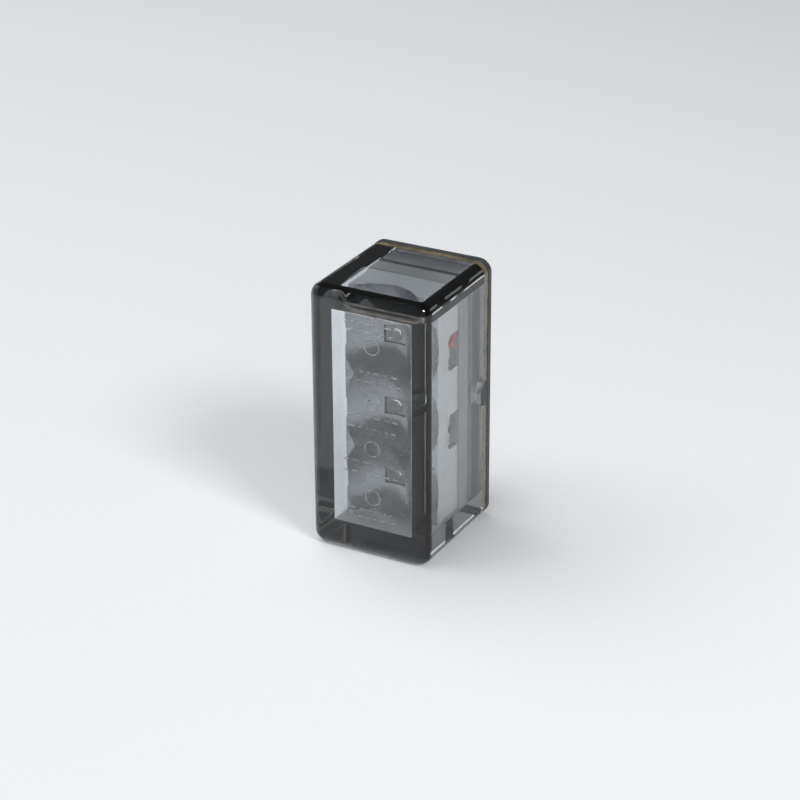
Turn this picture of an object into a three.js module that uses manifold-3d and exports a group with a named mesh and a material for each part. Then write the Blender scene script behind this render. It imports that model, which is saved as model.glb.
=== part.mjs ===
// Sealed LED vehicle lamp: a clear cover bonded over a black base, with a three-bowl reflector,
// a circuit board and two fixing studs. Millimetres, +Z up, the lens faces -Y.
// Origin: centre of the flat bottom face of the cover. Depths are measured back from the front face.
import * as THREE from "three";
import { RoundedBoxGeometry } from "three/addons/geometries/RoundedBoxGeometry.js";
import { mergeVertices } from "three/addons/utils/BufferGeometryUtils.js";
import Module from "manifold-3d";

const wasm = await Module();
wasm.setup();

// ---- driving dimensions ----
const WIDTH = 21;
const DEPTH = 22;
const HEIGHT = 45;
const EDGE_RADIUS = 2.1;
const SIDE_WALL = 3.5;
const END_WALL = 4.2;
const FRONT_WALL = 3;
const SEAT_GAP = 0.05; // between parts that touch
const REFLECTOR_GAP = 0.3; // round the reflector, so that it slides into the cover
const BASE_GAP = 0.1; // glue line between the base and the cover

// ---- cover ----
const FRONT_Y = -DEPTH / 2;
const MID_Z = HEIGHT / 2;
const FLANGE_THICK = 1; // the base's flange, which closes the back of the cover's walls
const FLANGE_DEPTH = DEPTH - FLANGE_THICK;
const CAVITY_HALF_X = WIDTH / 2 - SIDE_WALL;
const CAVITY_HALF_Z = HEIGHT / 2 - END_WALL;
const NOTCH_RADIUS = 2.4;
const EDGE_SEGMENTS = 4;
const OVERCUT = 1; // how far a cutter runs past the face that it opens

// ---- reflector ----
const BOWL_PITCH = 12.4;
const BOWL_HALF_X = 7;
const BOWL_HALF_Z = 9;
const RIM_DEPTH = 6.6;
const BOWL_DEEP = 4.2;
const BOWL_SHELL = 0.9;
const TRAY_WALL = 0.8;
const BOWL_ROWS = 7;
const BOWL_SIDES = 32;
const LEAD_NOTCH_HEIGHT = 6;
const LEAD_NOTCH_DEEP = 5;
const LEAD_NOTCH_OFFSETS = [10.5, -3.2]; // upper and lower notch, from mid height

// ---- board and what it carries ----
const BOARD_DEPTH = 12.2;
const BOARD_THICK = 1.2;
const BOARD_HALF_X = 5.4;
const BOARD_HALF_Z = 16.8;
const LED = { x: 3.5, z: 2.8, tall: 1.35 };
const LED_HOLE_CLEARANCE = 0.5;
const LED_DOME_RADIUS = 1.15;
const LED_DOME_TALL = 0.85;
const DOME_ROWS = 6;
const RESISTOR = { x: 1.6, z: 3.2, tall: 0.6, column: 2.6 };
const DIODE = { x: 2.6, z: 4.3, tall: 2.1 };
const REGULATOR = { x: 2.5, z: 4.5, tall: 1.5 };
const CAPACITOR = { x: 2.8, z: 3.5, tall: 1.8 };
const BOARD_SCREW = { head: 1.7, headTall: 1, shank: 0.9, length: 4.6 };
const SMALL_SIDES = 16;

// ---- base ----
const BASE_DEPTH = 15.2;
const BASE_WALL = 1.7;
const BASE_FLOOR = 3;
const POST_RADIUS = 1.75;
const SCREW_CLEARANCE = 0.08;
const GASKET = { depth: 16.5, thick: 1, groove: 0.8 };
const KEY_CLEARANCE = 0.15; // round the half-round key of the base in its notch in the cover

// ---- fixing hardware, M4 ----
const STUD_PITCH = 25;
const STUD_RADIUS = 2;
const STUD_LENGTH = 10;
const STUD_HEAD = { flats: 7, tall: 2.75 };
const WASHER = { radius: 4.5, hole: 2.15, thick: 0.8 };
const NUT = { flats: 7, hole: 2.08, thick: 3.2 };
const BRACKET_THICK = 2; // the bracket that the washers and nuts clamp against the base
const BRACKET_GAP = BRACKET_THICK + 2 * SEAT_GAP;

// ---- cable exit and internal leads ----
const GROMMET = { bore: 1.3, neck: 1.9, flange: 2.7, flangeThick: 0.8, nose: 2.1, noseLength: 1.5 };
const LEAD_RADIUS = 0.42;
const LEAD_SPACING = 0.52; // from the grommet's axis to each lead's
const LEAD_FRONT_DEPTH = 11.3; // how far forward the leads come in the notches
const ROUND_SIDES = 24;

const atDepth = (depth) => FRONT_Y + depth;
const BOARD_BACK = BOARD_DEPTH + BOARD_THICK;
const BASE_HALF_X = CAVITY_HALF_X - BASE_GAP;
const BASE_HALF_Z = CAVITY_HALF_Z - BASE_GAP;
const FLOOR_DEPTH = DEPTH - BASE_FLOOR;
const ROWS = { bottom: -1, middle: 0, top: 1 };

// ---- materials ----
const material = (color, roughness, metalness = 0, opacity = 1) =>
  new THREE.MeshStandardMaterial({ color, roughness, metalness, opacity, transparent: opacity < 1 });
const clearPlastic = () => material(0xdfe6ea, 0.05, 0, 0.3);
const chrome = () => material(0xc8ccd0, 0.12, 1);
const blackPlastic = () => material(0x17191b, 0.5);
const blackRubber = () => material(0x101112, 0.8);
const steel = () => material(0xa9adb0, 0.3, 1);

// ---- solids ----
function solidOf(geometry) {
  const bare = geometry.clone();
  bare.deleteAttribute("normal");
  bare.deleteAttribute("uv");
  const merged = mergeVertices(bare, 1e-4);
  return new wasm.Manifold(
    new wasm.Mesh({
      numProp: 3,
      vertProperties: merged.attributes.position.array,
      triVerts: new Uint32Array(merged.index.array),
    }),
  );
}

function geometryOf(solid) {
  const mesh = solid.getMesh();
  const geometry = new THREE.BufferGeometry();
  geometry.setAttribute("position", new THREE.BufferAttribute(mesh.vertProperties, 3));
  geometry.setIndex(new THREE.BufferAttribute(mesh.triVerts, 1));
  const flat = geometry.toNonIndexed();
  flat.computeVertexNormals();
  return flat;
}

const join = (solids) => solids.reduce((whole, piece) => whole.add(piece));
const cut = (solid, cutters) => cutters.reduce((rest, cutter) => rest.subtract(cutter), solid);

// A box centred on x, between two depths, centred on height z.
function boxGeometry(sizeX, fromDepth, toDepth, sizeZ, x = 0, z = MID_Z) {
  const geometry = new THREE.BoxGeometry(sizeX, toDepth - fromDepth, sizeZ);
  geometry.translate(x, atDepth((fromDepth + toDepth) / 2), z);
  return geometry;
}
const box = (...size) => solidOf(boxGeometry(...size));

// A solid of revolution about a line along Y at height z: rows are [radius, depth], closed.
function turnedGeometry(rows, z = MID_Z, sides = ROUND_SIDES) {
  const points = rows.map(([radius, depth]) => new THREE.Vector2(radius, atDepth(depth)));
  const geometry = new THREE.LatheGeometry(points, sides);
  geometry.translate(0, 0, z);
  return geometry;
}

function rodGeometry(radius, fromDepth, toDepth, z, sides = ROUND_SIDES) {
  const geometry = new THREE.CylinderGeometry(radius, radius, toDepth - fromDepth, sides);
  geometry.translate(0, atDepth((fromDepth + toDepth) / 2), z);
  return geometry;
}
const rod = (...size) => solidOf(rodGeometry(...size));

// A six-sided prism along Y, with two flats facing up and down.
function hexGeometry(flats, fromDepth, toDepth, z) {
  const geometry = rodGeometry(flats / Math.sqrt(3), fromDepth, toDepth, 0, 6);
  geometry.rotateY(Math.PI / 6);
  geometry.translate(0, 0, z);
  return geometry;
}

// ---- the sub-parts ----
const lamp = new THREE.Group();
function addNode(name, geometry, nodeMaterial) {
  const mesh = new THREE.Mesh(geometry, nodeMaterial);
  mesh.name = name;
  lamp.add(mesh);
}

// The outer form, rounded all round at the front, between two depths, with square rims.
function outerSlice(fromDepth, toDepth) {
  const overlong = DEPTH + 2 * EDGE_RADIUS;
  const form = new RoundedBoxGeometry(WIDTH, overlong, HEIGHT, EDGE_SEGMENTS, EDGE_RADIUS);
  form.translate(0, FRONT_Y + overlong / 2, MID_Z);
  return solidOf(form).intersect(box(2 * WIDTH, fromDepth, toDepth, 2 * HEIGHT));
}

// A rod across the lamp's right half where the cover meets the flange: it makes the notch and its key.
function crossRod(radius, length) {
  const geometry = new THREE.CylinderGeometry(radius, radius, length, ROUND_SIDES);
  geometry.rotateZ(Math.PI / 2);
  geometry.translate(length / 2, atDepth(FLANGE_DEPTH), MID_Z);
  return solidOf(geometry);
}

function coverGeometry() {
  const form = outerSlice(-OVERCUT, FLANGE_DEPTH - SEAT_GAP);
  const cavity = box(2 * CAVITY_HALF_X, FRONT_WALL, DEPTH, 2 * CAVITY_HALF_Z);
  return geometryOf(cut(form, [cavity, crossRod(NOTCH_RADIUS, WIDTH)]));
}

// One bowl as a solid paraboloid, apex at the back, running forward past the rim.
function bowlSolid(row, setBack, pastRim) {
  const apex = RIM_DEPTH + BOWL_DEEP + setBack;
  const mouth = RIM_DEPTH - pastRim;
  const rows = [[0, mouth]];
  for (let i = 0; i <= BOWL_ROWS; i++) {
    const depth = mouth + (apex - mouth) * (1 - (1 - i / BOWL_ROWS) ** 2);
    rows.push([BOWL_HALF_X * Math.sqrt((apex - depth) / BOWL_DEEP), depth]);
  }
  const geometry = turnedGeometry(rows, 0, BOWL_SIDES);
  geometry.scale(1, 1, BOWL_HALF_Z / BOWL_HALF_X);
  geometry.translate(0, 0, MID_Z + row * BOWL_PITCH);
  return solidOf(geometry);
}

function reflectorGeometry() {
  const outerX = 2 * (CAVITY_HALF_X - REFLECTOR_GAP);
  const outerZ = 2 * (CAVITY_HALF_Z - REFLECTOR_GAP);
  const innerX = outerX - 2 * TRAY_WALL;
  const innerZ = outerZ - 2 * TRAY_WALL;
  const skirtEnd = BASE_DEPTH - SEAT_GAP;
  const outside = box(outerX, RIM_DEPTH, skirtEnd, outerZ);
  const pocket = box(innerX, RIM_DEPTH + TRAY_WALL, skirtEnd + OVERCUT, innerZ);
  const rows = Object.values(ROWS);
  const shells = join(rows.map((row) => bowlSolid(row, BOWL_SHELL, 0))).intersect(outside);
  const bowls = rows.map((row) => bowlSolid(row, 0, OVERCUT));
  const holeX = LED.x + LED_HOLE_CLEARANCE;
  const holeZ = LED.z + LED_HOLE_CLEARANCE;
  const bowlZ = (row) => MID_Z + row * BOWL_PITCH;
  const ledHoles = rows.map((row) => box(holeX, RIM_DEPTH, BOARD_DEPTH, holeZ, 0, bowlZ(row)));
  const notchX = 3 * TRAY_WALL; // straddles the skirt's right wall
  const leadNotches = LEAD_NOTCH_OFFSETS.map((offset) => {
    const from = skirtEnd - LEAD_NOTCH_DEEP;
    return box(notchX, from, skirtEnd + OVERCUT, LEAD_NOTCH_HEIGHT, outerX / 2, MID_Z + offset);
  });
  return geometryOf(cut(outside.subtract(pocket).add(shells), [...bowls, ...ledHoles, ...leadNotches]));
}

const screwHeights = [MID_Z - BOWL_PITCH / 2, MID_Z + BOWL_PITCH / 2];
const studHeights = [MID_Z - STUD_PITCH / 2, MID_Z + STUD_PITCH / 2];

function boardGeometry() {
  const plate = box(2 * BOARD_HALF_X, BOARD_DEPTH, BOARD_BACK, 2 * BOARD_HALF_Z);
  const holeRadius = BOARD_SCREW.shank + SCREW_CLEARANCE;
  const holes = screwHeights.map((z) => rod(holeRadius, BOARD_DEPTH - OVERCUT, BOARD_BACK + OVERCUT, z));
  return geometryOf(cut(plate, holes));
}

// A shallow cap on the package's front face.
function ledDomeGeometry(z) {
  const seat = BOARD_DEPTH - 2 * SEAT_GAP - LED.tall;
  const rows = [];
  for (let i = 0; i <= DOME_ROWS; i++) {
    const angle = (i / DOME_ROWS) * (Math.PI / 2);
    rows.push([LED_DOME_RADIUS * Math.sin(angle), seat - LED_DOME_TALL * Math.cos(angle)]);
  }
  rows.push([0, seat]);
  return turnedGeometry(rows, z, SMALL_SIDES);
}

function boardScrewGeometry(z) {
  const seat = BOARD_DEPTH - SEAT_GAP;
  const head = rod(BOARD_SCREW.head, seat - BOARD_SCREW.headTall, seat, z, SMALL_SIDES);
  const tip = seat + BOARD_SCREW.length;
  const shank = rod(BOARD_SCREW.shank, seat - BOARD_SCREW.headTall / 2, tip, z, SMALL_SIDES);
  return geometryOf(head.add(shank));
}

function baseGeometry() {
  // the plug and the key end inside the flange, so that the rear face is one true plane
  const insideFlange = DEPTH - FLANGE_THICK / 2;
  const plug = box(2 * BASE_HALF_X, BASE_DEPTH, insideFlange, 2 * BASE_HALF_Z);
  const flange = outerSlice(FLANGE_DEPTH, DEPTH);
  const keyRod = crossRod(NOTCH_RADIUS - KEY_CLEARANCE, WIDTH / 2 - SEAT_GAP);
  const key = keyRod.intersect(box(2 * WIDTH, 0, insideFlange, HEIGHT));
  const pocketX = 2 * (BASE_HALF_X - BASE_WALL);
  const pocketZ = 2 * (BASE_HALF_Z - BASE_WALL);
  const pocket = box(pocketX, BASE_DEPTH - OVERCUT, FLOOR_DEPTH, pocketZ);
  const grooveEnd = GASKET.depth + GASKET.thick + SEAT_GAP;
  const grooveBand = box(2 * WIDTH, GASKET.depth - SEAT_GAP, grooveEnd, 2 * HEIGHT);
  const grooveX = 2 * (BASE_HALF_X - GASKET.groove);
  const grooveZ = 2 * (BASE_HALF_Z - GASKET.groove);
  const groove = grooveBand.subtract(box(grooveX, BASE_DEPTH, DEPTH, grooveZ));
  const posts = screwHeights.map((z) => rod(POST_RADIUS, BOARD_BACK + SEAT_GAP, FLOOR_DEPTH + SEAT_GAP, z));
  const screwHoleEnd = BOARD_DEPTH + BOARD_SCREW.length + OVERCUT;
  const screwHoleRadius = BOARD_SCREW.shank + SCREW_CLEARANCE;
  const screwHole = (z) => rod(screwHoleRadius, BOARD_DEPTH, screwHoleEnd, z, SMALL_SIDES);
  const throughHole = (radius, z) => rod(radius + SEAT_GAP, FLOOR_DEPTH - OVERCUT, DEPTH + OVERCUT, z);
  const counterboreFloor = DEPTH - GROMMET.flangeThick - SEAT_GAP;
  const counterbore = rod(GROMMET.flange + SEAT_GAP, counterboreFloor, DEPTH + OVERCUT, MID_Z);
  const shell = join([plug, flange, key]).subtract(pocket);
  return geometryOf(
    cut(join([shell, ...posts]), [
      groove,
      ...screwHeights.map(screwHole),
      ...studHeights.map((z) => throughHole(STUD_RADIUS, z)),
      throughHole(GROMMET.neck, MID_Z),
      counterbore,
    ]),
  );
}

function gasketGeometry() {
  const outerX = 2 * (CAVITY_HALF_X - SEAT_GAP);
  const outerZ = 2 * (CAVITY_HALF_Z - SEAT_GAP);
  const outer = box(outerX, GASKET.depth, GASKET.depth + GASKET.thick, outerZ);
  const holeX = 2 * (BASE_HALF_X - GASKET.groove + SEAT_GAP);
  const holeZ = 2 * (BASE_HALF_Z - GASKET.groove + SEAT_GAP);
  return geometryOf(outer.subtract(box(holeX, BASE_DEPTH, DEPTH, holeZ)));
}

function grommetGeometry() {
  const inner = FLOOR_DEPTH - SEAT_GAP;
  const outer = DEPTH - GROMMET.flangeThick;
  return turnedGeometry([
    [GROMMET.bore, inner - GROMMET.flangeThick],
    [GROMMET.flange, inner - GROMMET.flangeThick],
    [GROMMET.flange, inner],
    [GROMMET.neck, inner],
    [GROMMET.neck, outer],
    [GROMMET.flange, outer],
    [GROMMET.flange, DEPTH],
    [GROMMET.nose, DEPTH],
    [GROMMET.nose, DEPTH + GROMMET.noseLength],
    [GROMMET.bore, DEPTH + GROMMET.noseLength],
    [GROMMET.bore, inner - GROMMET.flangeThick],
  ]);
}

function studGeometry(z) {
  const seat = FLOOR_DEPTH - SEAT_GAP;
  const head = solidOf(hexGeometry(STUD_HEAD.flats, seat - STUD_HEAD.tall, seat, z));
  return geometryOf(head.add(rod(STUD_RADIUS, seat - STUD_HEAD.tall / 2, DEPTH + STUD_LENGTH, z)));
}

function washerGeometry(z) {
  const front = DEPTH + BRACKET_GAP;
  const back = front + WASHER.thick;
  const disc = rod(WASHER.radius, front, back, z);
  return geometryOf(disc.subtract(rod(WASHER.hole, front - OVERCUT, back + OVERCUT, z)));
}

function nutGeometry(z) {
  const front = DEPTH + BRACKET_GAP + WASHER.thick + SEAT_GAP;
  const back = front + NUT.thick;
  const hex = solidOf(hexGeometry(NUT.flats, front, back, z));
  return geometryOf(hex.subtract(rod(NUT.hole, front - OVERCUT, back + OVERCUT, z)));
}

// An insulated lead along a hand-bent route of [x, depth, z] points.
function leadGeometry(route, steps) {
  const path = new THREE.CatmullRomCurve3(
    route.map(([x, depth, z]) => new THREE.Vector3(x, atDepth(depth), z)),
    false,
    "centripetal",
  );
  const section = new THREE.Shape();
  section.absarc(0, 0, LEAD_RADIUS, 0, 2 * Math.PI);
  return new THREE.ExtrudeGeometry(section, { steps, curveSegments: 4, extrudePath: path });
}

// A bend round the edge of the board, out into a notch of the reflector's skirt and back:
// it enters at the height from, reaches furthest forward at the height mid, and leaves at to.
function notchBend(from, mid, to) {
  const reach = CAVITY_HALF_X - REFLECTOR_GAP - LEAD_RADIUS - SEAT_GAP;
  const besideBoard = BOARD_BACK - 0.2;
  const roundCorner = BOARD_BACK + 2 * LEAD_RADIUS;
  return [
    [reach - 0.7, roundCorner, from],
    [reach, besideBoard, from + (mid - from) * 0.4],
    [reach, LEAD_FRONT_DEPTH, mid],
    [reach, besideBoard, to + (mid - to) * 0.4],
    [reach - 0.7, roundCorner, to],
  ];
}

// The last stretch of a lead, from inside the base out through the grommet at its own side.
function throughGrommet(x, approach) {
  return [
    [x, FLOOR_DEPTH - 1.2, MID_Z + approach],
    [x, FLOOR_DEPTH, MID_Z],
    [x, DEPTH + GROMMET.noseLength, MID_Z],
  ];
}

addNode("lens_cover", coverGeometry(), clearPlastic());
addNode("reflector", reflectorGeometry(), chrome());
addNode("circuit_board", boardGeometry(), material(0xe8eae6, 0.5));
addNode("rear_housing", baseGeometry(), blackPlastic());
addNode("base_gasket", gasketGeometry(), blackRubber());
addNode("cable_grommet", grommetGeometry(), blackRubber());

for (const [name, row] of Object.entries(ROWS)) {
  const z = MID_Z + row * BOWL_PITCH;
  const seat = BOARD_DEPTH - SEAT_GAP;
  addNode("led_" + name, boxGeometry(LED.x, seat - LED.tall, seat, LED.z, 0, z), material(0xf1efe6, 0.4));
  addNode("led_dome_" + name, ledDomeGeometry(z), material(0xf0d890, 0.1, 0, 0.6));
}

const behindBoard = (size, x, z) =>
  boxGeometry(size.x, BOARD_BACK + SEAT_GAP, BOARD_BACK + SEAT_GAP + size.tall, size.z, x, z);
let resistorNumber = 0;
for (const row of Object.values(ROWS)) {
  for (const side of [-1, 1]) {
    resistorNumber += 1;
    const geometry = behindBoard(RESISTOR, side * RESISTOR.column, MID_Z + row * BOWL_PITCH);
    addNode("resistor_" + resistorNumber, geometry, material(0x1b1c1e, 0.35));
  }
}
addNode("protection_diode", behindBoard(DIODE, 0, MID_Z - BOWL_PITCH), material(0x202225, 0.5));
addNode("regulator", behindBoard(REGULATOR, 0, MID_Z), material(0x1d1f21, 0.5));
addNode("capacitor", behindBoard(CAPACITOR, 0, MID_Z + BOWL_PITCH), material(0xc98a2b, 0.5));

["lower", "upper"].forEach((name, i) => {
  addNode("board_screw_" + name, boardScrewGeometry(screwHeights[i]), steel());
  addNode("stud_" + name, studGeometry(studHeights[i]), steel());
  addNode("washer_" + name, washerGeometry(studHeights[i]), steel());
  addNode("nut_" + name, nutGeometry(studHeights[i]), steel());
});

// Each lead starts at its pad on the back of the board. The points between the pad, the notches and
// the grommet are set by eye, as the wire is bent by hand.
const padX = BOARD_HALF_X - 1;
const padDepth = BOARD_BACK + LEAD_RADIUS + 3 * SEAT_GAP;
const behindParts = BASE_DEPTH;
const upperNotch = MID_Z + LEAD_NOTCH_OFFSETS[0];
const lowerNotch = MID_Z + LEAD_NOTCH_OFFSETS[1];
const redRoute = [
  [padX, padDepth, upperNotch + 3.8],
  ...notchBend(upperNotch + 2.5, upperNotch + 1.2, upperNotch - 0.2),
  [padX - 1.1, behindParts, upperNotch - 2.5],
  [padX - 1.5, behindParts + 0.5, upperNotch - 5],
  [LEAD_SPACING * 4, FLOOR_DEPTH - 2.6, MID_Z + 2],
  ...throughGrommet(LEAD_SPACING, 0.3),
];
const blackRoute = [
  [padX, padDepth, upperNotch - 4.4],
  ...notchBend(upperNotch - 2.5, upperNotch - 1.9, upperNotch - 1.3),
  [padX, behindParts, upperNotch - 4],
  [padX, behindParts, lowerNotch + 4.5],
  ...notchBend(lowerNotch + 1.3, lowerNotch, lowerNotch - 1.3),
  [padX - 1, behindParts + 0.7, lowerNotch - 0.3],
  ...throughGrommet(-LEAD_SPACING, -0.6),
];
addNode("lead_red", leadGeometry(redRoute, 30), material(0xb3202a, 0.5));
addNode("lead_black", leadGeometry(blackRoute, 48), material(0x2a2d31, 0.5));

export default lamp;
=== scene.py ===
"""Looks of the sealed LED vehicle lamp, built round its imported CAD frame.

Lengths are millimetres while a piece is made, and finish_piece() turns them into metres.
Y runs from the lens, low, to the base and its studs, high.
"""

import math
import random

import bmesh
import bpy
from mathutils import Matrix, Quaternion, Vector


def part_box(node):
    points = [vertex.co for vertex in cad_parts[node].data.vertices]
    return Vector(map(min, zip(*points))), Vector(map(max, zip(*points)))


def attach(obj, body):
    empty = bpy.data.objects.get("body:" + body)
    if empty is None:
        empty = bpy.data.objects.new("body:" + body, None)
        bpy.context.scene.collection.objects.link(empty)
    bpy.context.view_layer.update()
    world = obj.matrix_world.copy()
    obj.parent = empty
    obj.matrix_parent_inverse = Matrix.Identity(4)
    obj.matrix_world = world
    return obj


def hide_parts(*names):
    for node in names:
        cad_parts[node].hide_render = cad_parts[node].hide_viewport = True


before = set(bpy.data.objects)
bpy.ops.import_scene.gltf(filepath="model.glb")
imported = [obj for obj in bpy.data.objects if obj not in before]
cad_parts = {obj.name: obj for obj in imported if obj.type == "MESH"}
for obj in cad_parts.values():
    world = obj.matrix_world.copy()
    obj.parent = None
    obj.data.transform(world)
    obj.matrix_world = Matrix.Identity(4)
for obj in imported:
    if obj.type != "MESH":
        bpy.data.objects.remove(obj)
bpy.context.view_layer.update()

# ---- sizes, from the CAD frame where it gives them ----
MM = 0.001


def node_box(node):
    """Lowest and highest corner of a CAD node, in millimetres."""
    low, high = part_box(node)
    return low / MM, high / MM


COVER_LOW, COVER_HIGH = node_box("lens_cover")
BASE_LOW, BASE_HIGH = node_box("rear_housing")
GASKET_LOW, GASKET_HIGH = node_box("base_gasket")
TRAY_LOW, TRAY_HIGH = node_box("reflector")
BOARD_HIGH = node_box("circuit_board")[1]

SEAT_GAP = 0.05
OVERCUT = 1.0
EDGE_RADIUS = 2.1
FRONT_WALL = 3.0
CAVITY_X = GASKET_HIGH.x + SEAT_GAP
CAVITY_LOW_Z = GASKET_LOW.z - SEAT_GAP
CAVITY_HIGH_Z = GASKET_HIGH.z + SEAT_GAP
CAVITY_CORNER = 0.08
MID_Z = (COVER_LOW.z + COVER_HIGH.z) / 2
FRONT_Y = COVER_LOW.y
REAR_Y = BASE_HIGH.y
FLANGE_Y = COVER_HIGH.y + SEAT_GAP
NOTCH_RADIUS = 2.4
KEY_CLEARANCE = 0.15

BOWL_PITCH = 12.4
BOWL_HALF_X = 7.0
BOWL_HALF_Z = 9.0
BOWL_DEEP = 4.2
BOWL_SHELL = 0.9
TRAY_WALL = 0.8
LEAD_NOTCH_HEIGHT = 6.0
LEAD_NOTCH_DEEP = 5.0
LEAD_NOTCH_OFFSETS = (10.5, -3.2)
LEAD_NOTCH_CORNER = 0.8
LED_CLEARANCE = 0.08

PLUG_X = CAVITY_X - 0.1
PLUG_LOW_Z = CAVITY_LOW_Z + 0.1
PLUG_HIGH_Z = CAVITY_HIGH_Z - 0.1
BASE_WALL = 1.7
BASE_FLOOR = 3.0
GASKET_GROOVE = 0.8
POST_RADIUS = 1.75
SCREW_HOLE = 0.98
PIN_MARK_RADIUS = 0.9
PIN_MARK_X = 8.2
PIN_MARK_DEEP = 0.08
GROMMET_FLANGE_OVER_NECK = 0.8
GROMMET_FLANGE_SEAT = 0.85
BASE_EDGE_BEVEL = 0.1
BASE_SHARP_ANGLE = 50
SCREW_HEIGHTS = (MID_Z - BOWL_PITCH / 2, MID_Z + BOWL_PITCH / 2)

STUD_RADIUS = 2.0
THREAD_PITCH = 0.7
THREAD_DEEP = 0.38
STUD_HEAD_TALL = 2.75
NUT_HOLE = 2.08

ROWS = {"bottom": -1, "middle": 0, "top": 1}
LEVELS = ("lower", "upper")


# ---- mesh making ----
def scratch(bm, name="scratch"):
    """A scratch object of a closed bmesh."""
    bmesh.ops.recalc_face_normals(bm, faces=bm.faces)
    mesh = bpy.data.meshes.new(name)
    bm.to_mesh(mesh)
    bm.free()
    obj = bpy.data.objects.new(name, mesh)
    bpy.context.scene.collection.objects.link(obj)
    return obj


def applied(obj):
    """The object with its modifiers applied."""
    bpy.context.view_layer.update()
    graph = bpy.context.evaluated_depsgraph_get()
    mesh = bpy.data.meshes.new_from_object(obj.evaluated_get(graph))
    obj.modifiers.clear()
    obj.data = mesh
    return obj


def combine(base, operation, *others):
    """The base joined to, cut by or met with the others, which are used up."""
    for other in others:
        modifier = base.modifiers.new("combine", "BOOLEAN")
        modifier.operation = operation
        modifier.solver = "EXACT"
        modifier.object = other
    applied(base)
    for other in others:
        bpy.data.objects.remove(other)
    return base


def any_edge(edge):
    return True


def front_and_depth_edges(edge):
    """The edges of a block that run along Y, and those round its front face."""
    one, two = (vert.co for vert in edge.verts)
    front = min(vert.co.y for face in edge.link_faces for vert in face.verts)
    along_y = abs(one.y - two.y) > abs(one.x - two.x) + abs(one.z - two.z)
    return along_y or max(one.y, two.y) < front + SEAT_GAP


def depth_edges(edge):
    """The edges of a block that run along Y."""
    one, two = (vert.co for vert in edge.verts)
    return abs(one.y - two.y) > abs(one.x - two.x) + abs(one.z - two.z)


def block(low, high, radius=0.0, segments=3, pick=any_edge):
    """A box between two corners, with the picked edges rounded."""
    bm = bmesh.new()
    middle = (Vector(low) + Vector(high)) / 2
    size = Vector(high) - Vector(low)
    bmesh.ops.create_cube(bm, size=1, matrix=Matrix.Translation(middle) @ Matrix.Diagonal((*size, 1)))
    if radius:
        edges = [edge for edge in bm.edges if pick(edge)]
        bmesh.ops.bevel(bm, geom=edges, offset=radius, segments=segments, profile=0.5, affect="EDGES")
    return scratch(bm)


def turned(rows, x=0.0, z=0.0, sides=64, stretch=1.0, closed=False):
    """A solid of revolution about a line along Y: rows are (radius, y)."""
    bm = bmesh.new()
    rings = []
    for radius, y in rows:
        if radius == 0:
            rings.append([bm.verts.new((x, y, z))] * sides)
            continue
        angles = [2 * math.pi * i / sides for i in range(sides)]
        ring = [(x + radius * math.cos(a), y, z + stretch * radius * math.sin(a)) for a in angles]
        rings.append([bm.verts.new(point) for point in ring])
    pairs = list(zip(rings, rings[1:]))
    if closed:
        pairs.append((rings[-1], rings[0]))
    for near, far in pairs:
        for i in range(sides):
            j = (i + 1) % sides
            corners = dict.fromkeys((near[i], near[j], far[j], far[i]))  # an axis point counts once
            bm.faces.new(list(corners))
    return scratch(bm)


def rod(radius, from_y, to_y, x=0.0, z=0.0, sides=64):
    return turned([(0, from_y), (radius, from_y), (radius, to_y), (0, to_y)], x, z, sides)


def hexagon(flats, from_y, to_y, z):
    """A six-sided prism along Y, flats up and down, with its corners chamfered at both ends."""
    across_corners = flats / math.sqrt(3)
    prism = rod(across_corners, from_y, to_y, 0, z, 6)
    chamfer = across_corners - flats / 2
    cone = turned(
        [
            (0, from_y),
            (flats / 2, from_y),
            (across_corners + chamfer / 2, from_y + chamfer),
            (across_corners + chamfer / 2, to_y - chamfer),
            (flats / 2, to_y),
            (0, to_y),
        ],
        0,
        z,
    )
    return combine(prism, "INTERSECT", cone)


def threaded_rod(from_y, to_y, z, sides=48, steps=6):
    """A rod with a helical thread, chamfered at its far end."""
    rows = int((to_y - from_y) / THREAD_PITCH * steps)
    bm = bmesh.new()
    rings = []
    for row in range(rows + 1):
        y = from_y + (to_y - from_y) * row / rows
        crest = min(STUD_RADIUS, STUD_RADIUS - THREAD_DEEP - SEAT_GAP + (to_y - y))
        ring = []
        for i in range(sides):
            phase = (y / THREAD_PITCH - i / sides) % 1
            radius = min(crest, STUD_RADIUS - THREAD_DEEP * abs(2 * phase - 1))
            angle = 2 * math.pi * i / sides
            ring.append(bm.verts.new((radius * math.cos(angle), y, z + radius * math.sin(angle))))
        rings.append(ring)
    for near, far in zip(rings, rings[1:]):
        for i in range(sides):
            j = (i + 1) % sides
            bm.faces.new((near[i], near[j], far[j], far[i]))
    bm.faces.new(rings[0])
    bm.faces.new(rings[-1])
    return scratch(bm)


def finish_piece(obj, name, material, slot, *nodes, sharp_angle=35):
    """Names the piece, turns it into metres, and lets it stand for its CAD nodes."""
    obj.name = name
    obj.data.transform(Matrix.Scale(MM, 4))
    if not obj.data.materials:
        obj.data.materials.append(material)
    obj.data.shade_smooth()
    obj.data.set_sharp_from_angle(angle=math.radians(sharp_angle))
    flat_faces = obj.modifiers.new("flat_faces", "WEIGHTED_NORMAL")
    flat_faces.keep_sharp = True
    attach(obj, "root")
    if nodes:
        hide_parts(*nodes)
    return obj


def repaint(obj, material, picked):
    """Gives the material to the faces that picked() accepts, by their centre (mm) and normal."""
    mesh = obj.data
    mesh.materials.append(material)
    index = len(mesh.materials) - 1
    for face in mesh.polygons:
        if picked(face.center / MM, face.normal):
            face.material_index = index


# ---- materials ----
def new_material(name):
    """A material, its nodes, its links and its Principled shader."""
    material = bpy.data.materials.new(name)
    material.use_nodes = True
    nodes = material.node_tree.nodes
    return material, nodes, material.node_tree.links, nodes["Principled BSDF"]


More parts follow.
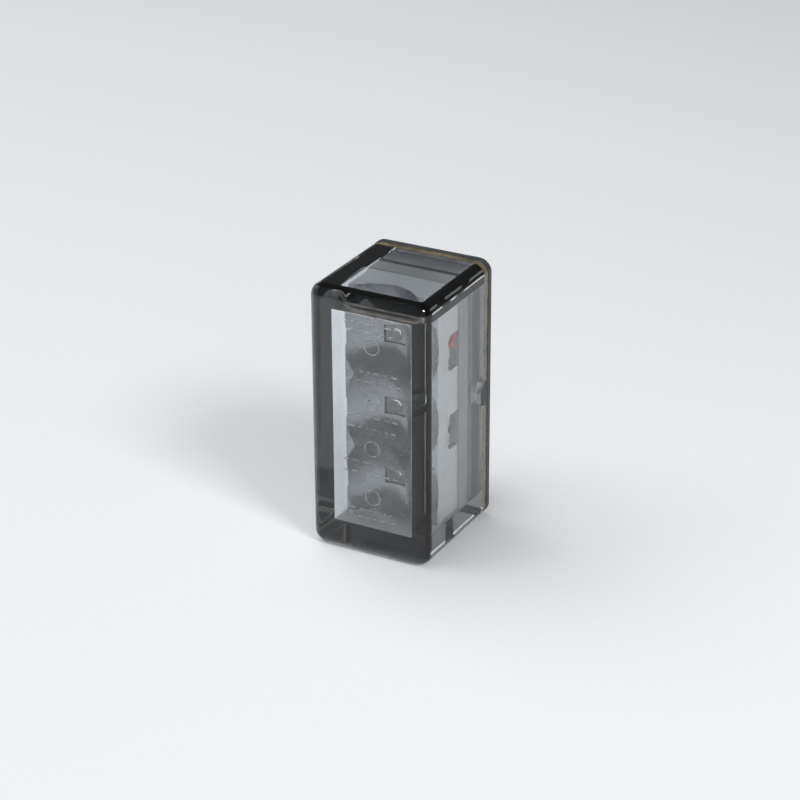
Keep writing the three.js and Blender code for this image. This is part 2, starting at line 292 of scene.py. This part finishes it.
def noise(nodes, links, scale, detail=4.0, stretch=(1, 1, 1)):
    """Noise in object space, where one unit is a metre: its Factor output."""
    coordinates = nodes.new("ShaderNodeTexCoord")
    mapping = nodes.new("ShaderNodeMapping")
    mapping.inputs["Scale"].default_value = stretch
    texture = nodes.new("ShaderNodeTexNoise")
    texture.inputs["Scale"].default_value = scale
    texture.inputs["Detail"].default_value = detail
    links.new(coordinates.outputs["Object"], mapping.inputs["Vector"])
    links.new(mapping.outputs["Vector"], texture.inputs["Vector"])
    return texture.outputs["Fac"]


def ranged(nodes, links, factor, low, high, from_low=0.3, from_high=0.7):
    """The factor stretched from one range to another."""
    node = nodes.new("ShaderNodeMapRange")
    node.inputs["From Min"].default_value = from_low
    node.inputs["From Max"].default_value = from_high
    node.inputs["To Min"].default_value = low
    node.inputs["To Max"].default_value = high
    links.new(factor, node.inputs["Value"])
    return node.outputs["Result"]


def tinted(nodes, links, factor, low, high):
    """A colour between two, by the factor."""
    ramp = nodes.new("ShaderNodeValToRGB")
    ramp.color_ramp.elements[0].position = 0.3
    ramp.color_ramp.elements[1].position = 0.7
    ramp.color_ramp.elements[0].color = (*low, 1)
    ramp.color_ramp.elements[1].color = (*high, 1)
    links.new(factor, ramp.inputs["Fac"])
    return ramp.outputs["Color"]


def bumped(nodes, links, shader, height, strength, distance):
    """Bump from the height, distance in metres."""
    bump = nodes.new("ShaderNodeBump")
    bump.inputs["Strength"].default_value = strength
    bump.inputs["Distance"].default_value = distance
    links.new(height, bump.inputs["Height"])
    links.new(bump.outputs["Normal"], shader.inputs["Normal"])


def clear_plastic():
    """Faintly smoky clear plastic, with a trace of haze and slight waves from the mould."""
    material, nodes, links, shader = new_material("clear_plastic")
    shader.inputs["Base Color"].default_value = (0.9, 0.925, 0.94, 1)
    shader.inputs["Transmission Weight"].default_value = 1
    shader.inputs["IOR"].default_value = 1.53
    haze = noise(nodes, links, 900, 6, (1, 1, 4))
    links.new(ranged(nodes, links, haze, 0.0, 0.035, 0.45, 0.8), shader.inputs["Roughness"])
    waves = noise(nodes, links, 140, 2)
    bumped(nodes, links, shader, waves, 0.12, 0.0002)
    return material


def frosted_plastic():
    """The floor of the moulded marks, left rough by the tool."""
    material, nodes, links, shader = new_material("frosted_plastic")
    shader.inputs["Base Color"].default_value = (0.9, 0.92, 0.93, 1)
    shader.inputs["Transmission Weight"].default_value = 0.85
    shader.inputs["IOR"].default_value = 1.53
    links.new(ranged(nodes, links, noise(nodes, links, 3000, 3), 0.35, 0.6), shader.inputs["Roughness"])
    return material


def metallised():
    """Dim metallising on the bowls."""
    material, nodes, links, shader = new_material("metallised")
    shader.inputs["Metallic"].default_value = 1
    cloud = noise(nodes, links, 350, 5)
    tint = tinted(nodes, links, cloud, (0.27, 0.28, 0.295), (0.38, 0.39, 0.405))
    links.new(tint, shader.inputs["Base Color"])
    links.new(ranged(nodes, links, cloud, 0.18, 0.32), shader.inputs["Roughness"])
    bumped(nodes, links, shader, noise(nodes, links, 1100, 3), 0.25, 0.00005)
    return material


def dull_metallised():
    """Thin uneven overspray on the outside of the reflector's skirt."""
    material, nodes, links, shader = new_material("dull_metallised")
    streaks = noise(nodes, links, 420, 6, (1, 5, 5))
    tint = tinted(nodes, links, streaks, (0.6, 0.62, 0.64), (0.7, 0.72, 0.74))
    links.new(tint, shader.inputs["Base Color"])
    links.new(ranged(nodes, links, streaks, 0.5, 0.66), shader.inputs["Metallic"])
    links.new(ranged(nodes, links, streaks, 0.42, 0.32), shader.inputs["Roughness"])
    bumped(nodes, links, shader, streaks, 0.08, 0.0001)
    return material


def grained_plastic(name, low, high, roughness, grain=2600, relief=0.35):
    """Opaque plastic or rubber, clouded between two colours, with a fine moulded grain."""
    material, nodes, links, shader = new_material(name)
    cloud = noise(nodes, links, 260, 5)
    links.new(tinted(nodes, links, cloud, low, high), shader.inputs["Base Color"])
    spread = 0.09
    sheen = ranged(nodes, links, cloud, roughness - spread, roughness + spread)
    links.new(sheen, shader.inputs["Roughness"])
    bumped(nodes, links, shader, noise(nodes, links, grain, 3), relief, 0.00005)
    return material


def adhesive():
    """Dark amber glue, thick and thin in patches."""
    material, nodes, links, shader = new_material("adhesive")
    patches = noise(nodes, links, 330, 5)
    tint = tinted(nodes, links, patches, (0.022, 0.022, 0.016), (0.15, 0.115, 0.06))
    links.new(tint, shader.inputs["Base Color"])
    links.new(ranged(nodes, links, patches, 0.12, 0.34), shader.inputs["Roughness"])
    shader.inputs["Coat Weight"].default_value = 0.5
    shader.inputs["Coat Roughness"].default_value = 0.08
    bumped(nodes, links, shader, noise(nodes, links, 1500, 4), 0.6, 0.0002)
    return material


def zinc_plate():
    """Bright zinc with drawn streaks."""
    material, nodes, links, shader = new_material("zinc_plate")
    shader.inputs["Metallic"].default_value = 1
    cloud = noise(nodes, links, 420, 6)
    tint = tinted(nodes, links, cloud, (0.5, 0.52, 0.55), (0.72, 0.72, 0.7))
    links.new(tint, shader.inputs["Base Color"])
    drawn = noise(nodes, links, 1500, 5, (1, 12, 1))
    links.new(ranged(nodes, links, drawn, 0.2, 0.42), shader.inputs["Roughness"])
    bumped(nodes, links, shader, drawn, 0.2, 0.00004)
    return material


def solder_mask():
    """White mask with slightly raised tracks under it."""
    material, nodes, links, shader = new_material("solder_mask")
    coordinates = nodes.new("ShaderNodeTexCoord")
    tracks = nodes.new("ShaderNodeTexBrick")
    tracks.inputs["Scale"].default_value = 160
    tracks.inputs["Mortar Size"].default_value = 0.04
    tracks.inputs["Color1"].default_value = (0.86, 0.87, 0.85, 1)
    tracks.inputs["Color2"].default_value = (0.8, 0.82, 0.79, 1)
    tracks.inputs["Mortar"].default_value = (0.68, 0.72, 0.66, 1)
    turned_space = nodes.new("ShaderNodeMapping")
    turned_space.inputs["Rotation"].default_value = (math.pi / 2, 0, 0)
    links.new(coordinates.outputs["Object"], turned_space.inputs["Vector"])
    links.new(turned_space.outputs["Vector"], tracks.inputs["Vector"])
    links.new(tracks.outputs["Color"], shader.inputs["Base Color"])
    links.new(ranged(nodes, links, noise(nodes, links, 700), 0.25, 0.4), shader.inputs["Roughness"])
    bumped(nodes, links, shader, tracks.outputs["Fac"], 0.3, 0.00004)
    return material


def silicone():
    """Water-clear LED lens with a trace of haze."""
    material, nodes, links, shader = new_material("silicone")
    shader.inputs["Base Color"].default_value = (0.93, 0.94, 0.93, 1)
    shader.inputs["Transmission Weight"].default_value = 1
    shader.inputs["IOR"].default_value = 1.41
    cloud = noise(nodes, links, 1800, 3)
    links.new(ranged(nodes, links, cloud, 0.02, 0.1), shader.inputs["Roughness"])
    bumped(nodes, links, shader, cloud, 0.08, 0.00005)
    return material


CLEAR = clear_plastic()
FROSTED = frosted_plastic()
CHROME = metallised()
DULL_CHROME = dull_metallised()
BLACK = grained_plastic("black_abs", (0.028, 0.031, 0.034), (0.042, 0.046, 0.05), 0.5, relief=0.12)
# Painted light: a lighter, grain-free copy of the black plastic for the flange's front face, so the dark
# borders seen through the cover's walls come out brighter.
BLACK_PAINTED_LIGHTER = grained_plastic("black_abs_painted_lighter", (0.038, 0.042, 0.047), (0.048, 0.053, 0.059), 0.6, 900, relief=0)
GREY = grained_plastic("grey_abs", (0.21, 0.22, 0.228), (0.29, 0.3, 0.308), 0.42, relief=0.2)
GLUE = adhesive()
RUBBER = grained_plastic("black_rubber", (0.012, 0.012, 0.013), (0.024, 0.024, 0.025), 0.78, 1700)
CHIP = grained_plastic("chip_epoxy", (0.018, 0.018, 0.019), (0.036, 0.036, 0.038), 0.4)
TANTALUM = grained_plastic("tantalum_epoxy", (0.55, 0.3, 0.06), (0.7, 0.42, 0.12), 0.42)
PACKAGE = grained_plastic("led_package", (0.38, 0.39, 0.4), (0.47, 0.48, 0.485), 0.45, relief=0.1)
RED_PVC = grained_plastic("red_insulation", (0.5, 0.02, 0.03), (0.66, 0.05, 0.06), 0.38)
BLACK_PVC = grained_plastic("black_insulation", (0.03, 0.035, 0.045), (0.06, 0.068, 0.08), 0.38)
ZINC = zinc_plate()
MASK = solder_mask()
SILICONE = silicone()


# ---- the clear cover ----
MARK_DEEP = 0.08
MARK_HALF_X = 5.2
MARK_RINGS = (35.7, 26.3, 18.2, 9.6)
MARK_ROWS = (39.4, 38.0, 31.3, 29.7, 23.6, 21.6, 15.6, 13.7, 7.2, 5.8)
RING_RADIUS = 1.3
RING_WIDTH = 0.18
DASH_HEIGHT = 0.3
REBATE_DEEP = 0.45
REBATE_LONG = 1.4
BEAD_INSET = 0.04
BEAD_STEP = 0.3


def joined(pieces):
    """Solids that don't touch each other, as one object."""
    bm = bmesh.new()
    for piece in pieces:
        bm.from_mesh(piece.data)
        bpy.data.objects.remove(piece)
    return scratch(bm)


def moulded_marks():
    """Cutters for plain rings and dashes in the back of the front wall."""
    random.seed(7)
    back = FRONT_Y + FRONT_WALL
    floor = back - MARK_DEEP
    ring_rows = [
        (RING_RADIUS, floor),
        (RING_RADIUS + RING_WIDTH, back + SEAT_GAP),
        (RING_RADIUS - RING_WIDTH, back + SEAT_GAP),
    ]
    rings = [turned(ring_rows, 0, z, 40, closed=True) for z in MARK_RINGS]
    dashes = []
    for z in MARK_ROWS:
        x = -MARK_HALF_X + random.uniform(0, 1)
        while x < MARK_HALF_X - 1:
            length = random.uniform(0.5, 1.3)
            low = (x, floor, z - DASH_HEIGHT / 2)
            high = (x + length, back + SEAT_GAP, z + DASH_HEIGHT / 2)
            dashes.append(block(low, high, 0.06, 1))
            x += length + random.uniform(0.35, 0.8)
    return joined(rings), joined(dashes)


def outer_slice(from_y, to_y, rounded_front):
    """The lamp's outer form between two depths."""
    low = (COVER_LOW.x, from_y, COVER_LOW.z)
    high = (COVER_HIGH.x, to_y, COVER_HIGH.z)
    pick = front_and_depth_edges if rounded_front else depth_edges
    return block(low, high, EDGE_RADIUS, 12, pick)


def cross_rod(radius, length):
    """A rod across the lamp's right half where the cover meets the base's flange."""
    along_y = rod(radius, -length, 0, 0, 0)
    turn = Matrix.Rotation(math.pi / 2, 4, "Z")
    along_y.data.transform(Matrix.Translation((0, FLANGE_Y, MID_Z)) @ turn)
    return along_y


def make_cover():
    cover = outer_slice(FRONT_Y, COVER_HIGH.y, True)
    cavity = block(
        (-CAVITY_X, FRONT_Y + FRONT_WALL, CAVITY_LOW_Z),
        (CAVITY_X, REAR_Y + OVERCUT, CAVITY_HIGH_Z),
        CAVITY_CORNER,
        4,
        front_and_depth_edges,
    )
    notch = cross_rod(NOTCH_RADIUS, 2 * COVER_HIGH.x)
    rebate = block(
        (2 * COVER_LOW.x, COVER_HIGH.y - REBATE_LONG, COVER_LOW.z - OVERCUT),
        (2 * COVER_HIGH.x, COVER_HIGH.y + OVERCUT, COVER_HIGH.z + OVERCUT),
    )
    rim_low = (COVER_LOW.x + REBATE_DEEP, FRONT_Y, COVER_LOW.z + REBATE_DEEP)
    rim_high = (COVER_HIGH.x - REBATE_DEEP, REAR_Y + OVERCUT, COVER_HIGH.z - REBATE_DEEP)
    combine(rebate, "DIFFERENCE", block(rim_low, rim_high, EDGE_RADIUS - REBATE_DEEP, 8, depth_edges))
    combine(cover, "DIFFERENCE", rebate)
    combine(cover, "DIFFERENCE", cavity, notch)
    combine(cover, "DIFFERENCE", *moulded_marks())
    finish_piece(cover, "lens_cover_clear", CLEAR, "clear_lens", "lens_cover")
    repaint(cover, FROSTED, on_mark_floor)
    return cover


def on_mark_floor(centre, normal):
    back = FRONT_Y + FRONT_WALL
    inside_marks = abs(centre.x) < MARK_HALF_X + 1
    return inside_marks and back - 1.5 * MARK_DEEP < centre.y < back - MARK_DEEP / 3


# ---- the reflector ----
def bowl(row, set_back, past_rim, rings, sides):
    """One bowl as a solid paraboloid, apex at the back."""
    apex = TRAY_LOW.y + BOWL_DEEP + set_back
    mouth = TRAY_LOW.y - past_rim
    rows = [(0, mouth)]
    for i in range(rings + 1):
        y = mouth + (apex - mouth) * (1 - (1 - i / rings) ** 2)
        rows.append((BOWL_HALF_X * math.sqrt(max(apex - y, 0) / BOWL_DEEP), y))
    return turned(rows, 0, MID_Z + row * BOWL_PITCH, sides, BOWL_HALF_Z / BOWL_HALF_X)


def make_reflector():
    outside = block(TRAY_LOW, TRAY_HIGH, 0.25, 2, depth_edges)
    pocket = block(
        TRAY_LOW + Vector((TRAY_WALL, TRAY_WALL, TRAY_WALL)),
        TRAY_HIGH + Vector((-TRAY_WALL, OVERCUT, -TRAY_WALL)),
    )
    shells = [bowl(row, BOWL_SHELL, 0, 10, 40) for row in ROWS.values()]
    trimmed = [combine(shell, "INTERSECT", block(TRAY_LOW, TRAY_HIGH)) for shell in shells]
    combine(outside, "DIFFERENCE", pocket)
    combine(outside, "UNION", *trimmed)
    combine(outside, "DIFFERENCE", *[bowl(row, 0, OVERCUT, 28, 112) for row in ROWS.values()])
    cutters = []
    for name in ROWS:
        low, high = node_box("led_" + name)
        clearance = Vector((LED_CLEARANCE, 0, LED_CLEARANCE))
        cutters.append(block(low - clearance - Vector((0, 3, 0)), high + clearance))
    for offset in LEAD_NOTCH_OFFSETS:
        half = LEAD_NOTCH_HEIGHT / 2
        straddle = 1.5 * TRAY_WALL
        low = (TRAY_HIGH.x - straddle, TRAY_HIGH.y - LEAD_NOTCH_DEEP, MID_Z + offset - half)
        high = (TRAY_HIGH.x + straddle, TRAY_HIGH.y + OVERCUT, MID_Z + offset + half)
        cutters.append(block(low, high, LEAD_NOTCH_CORNER, 4))
    combine(outside, "DIFFERENCE", *cutters)
    finish_piece(outside, "reflector_bowls", CHROME, "reflector_chrome", "reflector")
    repaint(outside, DULL_CHROME, on_skirt_outside)
    return outside


def on_skirt_outside(centre, normal):
    to_side = TRAY_HIGH.x - abs(centre.x)
    return min(to_side, TRAY_HIGH.z - centre.z, centre.z - TRAY_LOW.z) < SEAT_GAP


# ---- the base ----
def keyed_plug(front):
    """The plug that fills the cover's back, with the flange and the half-round key."""
    back = REAR_Y - SEAT_GAP
    plug = block((-PLUG_X, front, PLUG_LOW_Z), (PLUG_X, back, PLUG_HIGH_Z), 0.2, 2, depth_edges)
    flange = outer_slice(FLANGE_Y, REAR_Y, False)
    key_reach = COVER_HIGH.x - SEAT_GAP
    key = cross_rod(NOTCH_RADIUS - KEY_CLEARANCE, key_reach)
    band = block((-2 * key_reach, front, BASE_LOW.z), (2 * key_reach, back, BASE_HIGH.z))
    combine(key, "INTERSECT", band)
    return combine(plug, "UNION", flange, key)


def gasket_groove(front):
    groove = block(
        (-2 * PLUG_X, GASKET_LOW.y - SEAT_GAP, 0),
        (2 * PLUG_X, GASKET_HIGH.y + SEAT_GAP, COVER_HIGH.z),
    )
    core_x = PLUG_X - GASKET_GROOVE
    core_low = (-core_x, front, PLUG_LOW_Z + GASKET_GROOVE)
    core_high = (core_x, REAR_Y, PLUG_HIGH_Z - GASKET_GROOVE)
    return combine(groove, "DIFFERENCE", block(core_low, core_high))


def base_cutters(front, floor, post_front):
    """The groove and holes of the base, with ejector pin marks beside each stud."""
    cutters = [gasket_groove(front)]
    for z in SCREW_HEIGHTS:
        cutters.append(rod(SCREW_HOLE, post_front - OVERCUT, floor - OVERCUT, 0, z, 32))
    for level in LEVELS:
        low, high = node_box("stud_" + level)
        z = (low.z + high.z) / 2
        cutters.append(rod(STUD_RADIUS + SEAT_GAP, floor - OVERCUT, REAR_Y + OVERCUT, 0, z))
        for x in (-PIN_MARK_X, PIN_MARK_X):
            cutters.append(rod(PIN_MARK_RADIUS, REAR_Y - PIN_MARK_DEEP, REAR_Y + OVERCUT, x, z, 32))
    low, high = node_box("cable_grommet")
    flange_hole = (high.x - low.x) / 2 + SEAT_GAP
    neck_hole = flange_hole - GROMMET_FLANGE_OVER_NECK
    cutters.append(rod(neck_hole, floor - OVERCUT, REAR_Y + OVERCUT, 0, MID_Z))
    cutters.append(rod(flange_hole, REAR_Y - GROMMET_FLANGE_SEAT, REAR_Y + OVERCUT, 0, MID_Z))
    return cutters


def make_base():
    front = BASE_LOW.y
    floor = REAR_Y - BASE_FLOOR
    post_front = BOARD_HIGH.y + SEAT_GAP
    base = keyed_plug(front)
    inset = Vector((BASE_WALL, 0, BASE_WALL))
    low = Vector((-PLUG_X, front - OVERCUT, PLUG_LOW_Z)) + inset
    high = Vector((PLUG_X, floor, PLUG_HIGH_Z)) - inset
    combine(base, "DIFFERENCE", block(low, high, 0.4, 3, depth_edges))
    posts = [rod(POST_RADIUS, post_front, floor + SEAT_GAP, 0, z) for z in SCREW_HEIGHTS]
    combine(base, "UNION", *posts)
    combine(base, "DIFFERENCE", *base_cutters(front, floor, post_front))
    edges = base.modifiers.new("edges", "BEVEL")
    edges.width = BASE_EDGE_BEVEL
    edges.segments = 2
    edges.limit_method = "ANGLE"
    edges.angle_limit = math.radians(BASE_SHARP_ANGLE)
    edges.use_clamp_overlap = True
    applied(base)
    finish_piece(base, "rear_housing_black", BLACK, "housing_black", "rear_housing")
    repaint(base, GREY, on_plug)
    # Painted light: the flange's front face gets the lighter copy of the black plastic.
    repaint(base, BLACK_PAINTED_LIGHTER, behind_cover_walls)
    return base


def on_plug(centre, normal):
    return centre.y < FLANGE_Y - SEAT_GAP and abs(centre.x) < PLUG_X + SEAT_GAP


def behind_cover_walls(centre, normal):
    """The flange's front face, which shows through the length of the cover's walls; it gets a lighter
    copy of the black plastic, painted light that brightens the borders seen through those walls.
    """
    return abs(centre.y - FLANGE_Y) < 2 * SEAT_GAP and normal.y < -0.5


def rim_points():
    """Points round the cover's rear rim, about BEAD_STEP apart, each with its outward direction."""
    half_x = COVER_HIGH.x - BEAD_INSET
    half_z = (COVER_HIGH.z - COVER_LOW.z) / 2 - BEAD_INSET
    corner = EDGE_RADIUS - BEAD_INSET
    outline = []
    for turn in range(4):
        centre_x = (half_x - corner) * (1, -1, -1, 1)[turn]
        centre_z = (half_z - corner) * (1, 1, -1, -1)[turn]
        for i in range(13):
            angle = (turn + i / 12) * math.pi / 2
            outline.append((centre_x, centre_z, math.cos(angle), math.sin(angle)))
    points = []
    for one, two in zip(outline, outline[1:] + outline[:1]):
        here, there = [Vector((c[0] + corner * c[2], c[1] + corner * c[3])) for c in (one, two)]
        steps = max(1, round((there - here).length / BEAD_STEP))
        for i in range(steps):
            points.append((here.lerp(there, i / steps), Vector((one[2], one[3]))))
    return points


def bead_section():
    """One cross-section of the bead: how far inward and how far ahead of the rim each corner is."""
    inner = REBATE_DEEP - BEAD_INSET
    back, front = 0.02, REBATE_LONG - 0.03
    return [
        (inner, front),
        (random.uniform(0, 0.07), front),
        (random.uniform(0, 0.09), REBATE_LONG * 0.66),
        (random.uniform(0, 0.09), REBATE_LONG * 0.33),
        (random.uniform(0, 0.07), back),
        (inner, back),
    ]


def make_glue_bead():
    """An uneven bead of glue in the rebate round the back edge of the cover."""
    random.seed(3)
    bm = bmesh.new()
    rings = []
    for point, outward in rim_points():
        ring = []
        for inward, ahead in bead_section():
            spot = point - outward * inward
            ring.append(bm.verts.new((spot.x, COVER_HIGH.y - ahead, MID_Z + spot.y)))
        rings.append(ring)
    for near, far in zip(rings, rings[1:] + rings[:1]):
        for i in range(len(near)):
            j = (i + 1) % len(near)
            bm.faces.new((near[i], near[j], far[j], far[i]))
    finish_piece(scratch(bm), "glue_bead", GLUE, "rubber_black", sharp_angle=60)


def make_grommet():
    low, high = node_box("cable_grommet")
    bore = 1.3
    neck = 1.9
    flange = (high.x - low.x) / 2
    nose = 2.1
    lip = 0.25
    inner = REAR_Y - BASE_FLOOR - SEAT_GAP
    outer = REAR_Y - 0.8
    rows = [
        (bore + lip, low.y),
        (flange - lip, low.y),
        (flange, low.y + lip),
        (flange, inner),
        (neck, inner),
        (neck, outer),
        (flange, outer),
        (flange, REAR_Y - lip),
        (flange - lip, REAR_Y),
        (nose, REAR_Y),
        (nose, high.y - 2 * lip),
        (nose - lip, high.y),
        (bore + lip, high.y),
        (bore, high.y - lip),
        (bore, low.y + lip),
    ]
    piece = turned(rows, 0, MID_Z, 72, closed=True)
    return finish_piece(piece, "grommet_rubber", RUBBER, "rubber_black", "cable_grommet", sharp_angle=50)


# ---- fixings ----
def make_fixings(level):
    """A stud with its head inside the base, its nut and its washer."""
    low, high = node_box("stud_" + level)
    z = (low.z + high.z) / 2
    head_back = REAR_Y - BASE_FLOOR - SEAT_GAP
    head = hexagon(high.z - low.z, low.y, head_back, z)
    stud = combine(head, "UNION", threaded_rod(head_back - STUD_HEAD_TALL / 2, high.y, z))
    finish_piece(stud, "threaded_stud_" + level, ZINC, "zinc_steel", "stud_" + level, sharp_angle=25)

    low, high = node_box("nut_" + level)
    hole_rows = [
        (0, low.y - OVERCUT),
        (NUT_HOLE + 0.35 + OVERCUT, low.y - OVERCUT),
        (NUT_HOLE, low.y + 0.35),
        (NUT_HOLE, high.y - 0.35),
        (NUT_HOLE + 0.35 + OVERCUT, high.y + OVERCUT),
        (0, high.y + OVERCUT),
    ]
    nut = hexagon(high.z - low.z, low.y, high.y, z)
    combine(nut, "DIFFERENCE", turned(hole_rows, 0, z))
    finish_piece(nut, "hex_nut_" + level, ZINC, "zinc_steel", "nut_" + level)

    low, high = node_box("washer_" + level)
    radius = (high.z - low.z) / 2
    hole = 2.15
    lip = 0.12
    rows = [
        (hole, low.y + lip),
        (hole + lip, low.y),
        (radius - lip, low.y),
        (radius, low.y + lip),
        (radius, high.y - lip),
        (radius - lip, high.y),
        (hole + lip, high.y),
        (hole, high.y - lip),
    ]
    washer = turned(rows, 0, z, 96, closed=True)
    finish_piece(washer, "plain_washer_" + level, ZINC, "zinc_steel", "washer_" + level)


def make_board_screw(level):
    """A pan-head screw with a cross recess."""
    node = "board_screw_" + level
    low, high = node_box(node)
    z = (low.z + high.z) / 2
    radius = (high.z - low.z) / 2
    head_back = low.y + 1.0
    crown = 0.45
    rows = [(0, low.y)]
    for i in range(1, 7):
        angle = i / 6 * math.pi / 2
        rows.append((radius * math.sin(angle), low.y + crown * (1 - math.cos(angle))))
    rows += [(radius, head_back), (0.9, head_back), (0.9, high.y - 0.5), (0, high.y)]
    screw = turned(rows, 0, z, 40)
    slots = [
        block((-1.0, low.y - OVERCUT, z - 0.15), (1.0, low.y + 0.5, z + 0.15)),
        block((-0.15, low.y - OVERCUT, z - 1.0), (0.15, low.y + 0.5, z + 1.0)),
    ]
    combine(screw, "DIFFERENCE", *slots)
    finish_piece(screw, "pan_screw_" + level, ZINC, "zinc_steel", node)


# ---- light sources and small components ----
def make_led(name):
    low, high = node_box("led_" + name)
    z = (low.z + high.z) / 2
    body = block(low, high, 0.12, 2)
    cup_floor = low.y + 0.45
    cup_top = low.y - 0.2
    cup_rows = [(0, cup_floor), (0.85, cup_floor), (1.3, cup_top), (0, cup_top)]
    combine(body, "DIFFERENCE", turned(cup_rows, 0, z, 48))
    finish_piece(body, "led_body_" + name, PACKAGE, "led_package", "led_" + name)
    for side in (-1, 1):
        for height in (-0.75, 0.75):
            x = side * (high.x - 0.12)
            centre = z + height
            foot_low = (x - 0.16, high.y - 0.7, centre - 0.3)
            foot_high = (x + 0.16, high.y, centre + 0.3)
            foot = block(foot_low, foot_high, 0.05, 2)
            corner = f"{'left' if side < 0 else 'right'}_{'low' if height < 0 else 'high'}"
            finish_piece(foot, f"led_terminal_{name}_{corner}", ZINC, "zinc_steel")

    low, high = node_box("led_dome_" + name)
    radius = (high.z - low.z) / 2
    tall = high.y - low.y
    rows = [(0, low.y)]
    for i in range(1, 17):
        angle = i / 16 * math.pi / 2
        rows.append((radius * math.sin(angle), high.y - tall * math.cos(angle)))
    rows.append((0, high.y))
    dome = turned(rows, 0, z, 56)
    finish_piece(dome, "led_lens_" + name, SILICONE, "led_silicone", "led_dome_" + name)


def make_chip(node, material, slot):
    """An epoxy body with a plated terminal at each end."""
    low, high = node_box(node)
    cap = 0.45
    body = block(low + Vector((0.06, 0, cap)), high - Vector((0.06, 0.03, cap)), 0.06, 2)
    finish_piece(body, node + "_body", material, slot, node)
    for name, from_z, to_z in (("low", low.z, low.z + cap), ("high", high.z - cap, high.z)):
        end = block((low.x, low.y, from_z), (high.x, high.y, to_z), 0.08, 2)
        finish_piece(end, f"{node}_end_{name}", ZINC, "zinc_steel")


def dress_cad_node(node, material, bevel=0.0, subdivide=0):
    """A CAD node that keeps its shape, with a better material and softened edges."""
    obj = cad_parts[node]
    obj.data.materials.clear()
    obj.data.materials.append(material)
    obj.data.shade_smooth()
    weld = obj.modifiers.new("weld", "WELD")
    weld.merge_threshold = 1e-6
    if bevel:
        edges = obj.modifiers.new("edges", "BEVEL")
        edges.width = bevel * MM
        edges.segments = 2
        edges.limit_method = "ANGLE"
        flat_faces = obj.modifiers.new("flat_faces", "WEIGHTED_NORMAL")
        flat_faces.keep_sharp = True
    if subdivide:
        smooth = obj.modifiers.new("smooth", "SUBSURF")
        smooth.levels = subdivide
        smooth.render_levels = subdivide


make_cover()
make_reflector()
make_base()
make_glue_bead()
make_grommet()
for level in LEVELS:
    make_fixings(level)
    make_board_screw(level)
for row_name in ROWS:
    make_led(row_name)
for number in range(1, 7):
    make_chip(f"resistor_{number}", CHIP, "chip_black")
make_chip("protection_diode", CHIP, "chip_black")
make_chip("regulator", CHIP, "chip_black")
make_chip("capacitor", TANTALUM, "capacitor_tan")
dress_cad_node("circuit_board", MASK, bevel=0.08)
dress_cad_node("base_gasket", RUBBER, bevel=0.15)
dress_cad_node("lead_red", RED_PVC, subdivide=2)
dress_cad_node("lead_black", BLACK_PVC, subdivide=2)


# ---- floor, lights and camera ----
FLOOR_HALF = 3000
FLOOR_DROP = 0.02
FLOOR_PALE = (0.55, 0.56, 0.57)
FLOOR_PALER = (0.56, 0.57, 0.58)


def make_floor():
    bm = bmesh.new()
    bmesh.ops.create_grid(bm, x_segments=1, y_segments=1, size=FLOOR_HALF * MM)
    sheet = scratch(bm, "floor")
    sheet.location.z = -FLOOR_DROP * MM
    material, nodes, links, shader = new_material("floor")
    fibres = noise(nodes, links, 900, 4)
    links.new(tinted(nodes, links, fibres, FLOOR_PALE, FLOOR_PALER), shader.inputs["Base Color"])
    shader.inputs["Roughness"].default_value = 0.9
    shader.inputs["Specular IOR Level"].default_value = 0.1
    sheet.data.materials.append(material)


def area_light(name, direction, distance, size, power):
    """A square soft light that faces the lamp's middle; power in watts."""
    data = bpy.data.lights.new(name, "AREA")
    data.energy = power
    data.size = size * MM
    light = bpy.data.objects.new(name, data)
    unit = Vector(direction).normalized()
    light.location = (Vector((0, 0, MID_Z)) + unit * distance) * MM
    light.rotation_mode = "QUATERNION"
    light.rotation_quaternion = unit.to_track_quat("Z", "Y")
    bpy.context.scene.collection.objects.link(light)
    return light


make_floor()

overhead = area_light("overhead", (-0.5, -0.05, 1.0), distance=700, size=800, power=7)
overhead.visible_glossy = False
front_fill = area_light("front_fill", (0.75, -1.0, 0.9), distance=700, size=420, power=0.8)
front_fill.visible_glossy = False
front_fill.visible_transmission = False
glint = area_light("corner_glint", (0.67, -0.31, 0.67), distance=600, size=160, power=2.4)
glint.visible_transmission = False

world = bpy.data.worlds.new("dim_room")
world.use_nodes = True
room = world.node_tree.nodes["Background"]
room.inputs["Color"].default_value = (0.94, 0.97, 1, 1)
room.inputs["Strength"].default_value = 0.15
bpy.context.scene.world = world
bpy.context.scene.view_settings.view_transform = "Standard"

CAMERA_AZIMUTH = 28.44
CAMERA_ELEVATION = 25.3
CAMERA_ROLL = -0.27
CAMERA_DISTANCE = 405
CAMERA_LENS = 114.5
CAMERA_SHIFT = (-0.00035, 0.0029)


def make_camera():
    azimuth = math.radians(CAMERA_AZIMUTH)
    elevation = math.radians(CAMERA_ELEVATION)
    back = Vector((
        math.sin(azimuth) * math.cos(elevation),
        -math.cos(azimuth) * math.cos(elevation),
        math.sin(elevation),
    ))
    data = bpy.data.cameras.new("camera")
    data.lens = CAMERA_LENS
    data.shift_x, data.shift_y = CAMERA_SHIFT
    data.clip_start = 0.01
    camera = bpy.data.objects.new("camera", data)
    middle = Vector((0, (FRONT_Y + REAR_Y) / 2, MID_Z))
    camera.location = (middle + back * CAMERA_DISTANCE) * MM
    camera.rotation_mode = "QUATERNION"
    roll = Quaternion((0, 0, 1), math.radians(CAMERA_ROLL))
    camera.rotation_quaternion = back.to_track_quat("Z", "Y") @ roll
    bpy.context.scene.collection.objects.link(camera)
    bpy.context.scene.camera = camera


make_camera()
